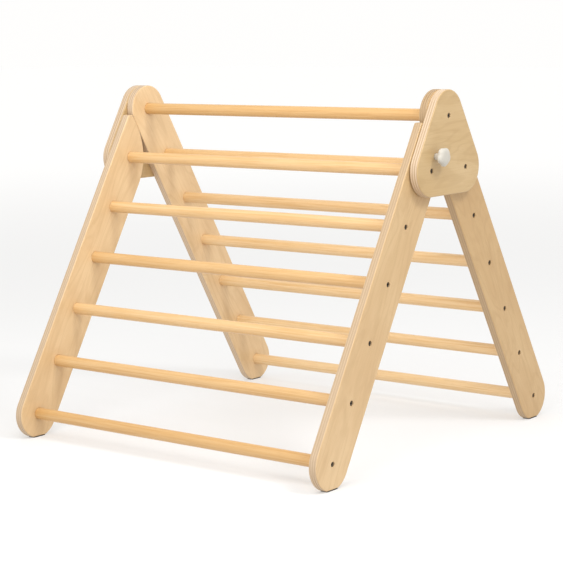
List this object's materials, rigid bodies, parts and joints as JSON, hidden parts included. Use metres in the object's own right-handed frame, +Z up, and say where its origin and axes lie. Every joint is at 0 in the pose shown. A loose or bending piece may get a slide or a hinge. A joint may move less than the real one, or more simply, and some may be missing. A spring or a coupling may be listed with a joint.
{
  "type": "folding climbing triangle",
  "caption": "Folding wooden climbing triangle: two plywood ladder frames with round rungs, hinged at the apex between rounded side plates, with a star knob on each side.",
  "frame": {"origin": "on the floor, midway between the front and rear feet and midway across the width", "axes": "+X along the rungs towards the right side, +Y from the front frame towards the rear frame, +Z up"},
  "size_m": [0.8586, 0.8186, 0.7085],
  "materials": {
    "birch_ply_rail": "clear matt lacquer over pale birch plywood, layers showing at the edges",
    "birch_ply_plate": "clear matt lacquer over pale birch plywood, grain across the plate",
    "rung_wood": "turned hardwood with satin lacquer",
    "screw_steel": "zinc-plated, socket in shadow",
    "nylon": "natural nylon",
    "brass_insert": "plain",
    "washer_steel": "zinc-plated",
    "pad_rubber": "thin dark rubber",
    "knob_plastic": "off-white moulded plastic, satin"
  },
  "bodies": {
    "rear_frame": {"rear_rail_left": "birch_ply_rail", "rear_rail_right": "birch_ply_rail", "apex_plate_left": "birch_ply_plate", "apex_plate_right": "birch_ply_plate", "rear_rung_1": "rung_wood", "rear_rung_2": "rung_wood", "rear_rung_3": "rung_wood", "rear_rung_4": "rung_wood", "rear_rung_5": "rung_wood", "rear_rung_6": "rung_wood", "rear_rung_7": "rung_wood", "rear_screws_left": "screw_steel", "rear_screws_right": "screw_steel", "plate_screws_left": "screw_steel", "plate_screws_right": "screw_steel", "lock_insert_left": "brass_insert", "lock_insert_right": "brass_insert", "foot_pad_rear_left": "pad_rubber", "foot_pad_rear_right": "pad_rubber"},
    "front_frame": {"front_rail_left": "birch_ply_rail", "front_rail_right": "birch_ply_rail", "front_rung_1": "rung_wood", "front_rung_2": "rung_wood", "front_rung_3": "rung_wood", "front_rung_4": "rung_wood", "front_rung_5": "rung_wood", "front_rung_6": "rung_wood", "front_screws_left": "screw_steel", "front_screws_right": "screw_steel", "pivot_screw_left": "screw_steel", "pivot_screw_right": "screw_steel", "pivot_washer_left": "nylon", "pivot_washer_right": "nylon", "foot_pad_front_left": "pad_rubber", "foot_pad_front_right": "pad_rubber"},
    "lock_washer_left": {"lock_washer_left": "washer_steel"},
    "lock_knob_left": {"lock_knob_left": "knob_plastic", "lock_stud_left": "screw_steel"},
    "lock_washer_right": {"lock_washer_right": "washer_steel"},
    "lock_knob_right": {"lock_knob_right": "knob_plastic", "lock_stud_right": "screw_steel"}
  },
  "joints": [
    {"name": "frame_fold", "type": "hinge", "parent": "rear_frame", "child": "front_frame", "pos_m": [0, -0.05989, 0.55686], "axis": [1, 0, 0], "range_deg": [0, 61]},
    {"name": "knob_travel_left", "type": "slide", "parent": "rear_frame", "child": "lock_washer_left", "axis": [-1, 0, 0], "range_m": [0, 0.00313]},
    {"name": "knob_turn_left", "type": "hinge", "parent": "lock_washer_left", "child": "lock_knob_left", "pos_m": [-0.4035, -0.04696, 0.58338], "axis": [-1, 0, 0], "range_deg": [0, 900.5]},
    {"name": "knob_travel_right", "type": "slide", "parent": "rear_frame", "child": "lock_washer_right", "axis": [1, 0, 0], "range_m": [0, 0.00313]},
    {"name": "knob_turn_right", "type": "hinge", "parent": "lock_washer_right", "child": "lock_knob_right", "pos_m": [0.4035, -0.04696, 0.58338], "axis": [1, 0, 0], "range_deg": [0, 900.5]}
  ],
  "couplings": [
    {"joint": "knob_turn_left", "follows": "knob_travel_left", "rad_per_m": 5026.5},
    {"joint": "knob_turn_right", "follows": "knob_travel_right", "rad_per_m": 5026.5}
  ]
}
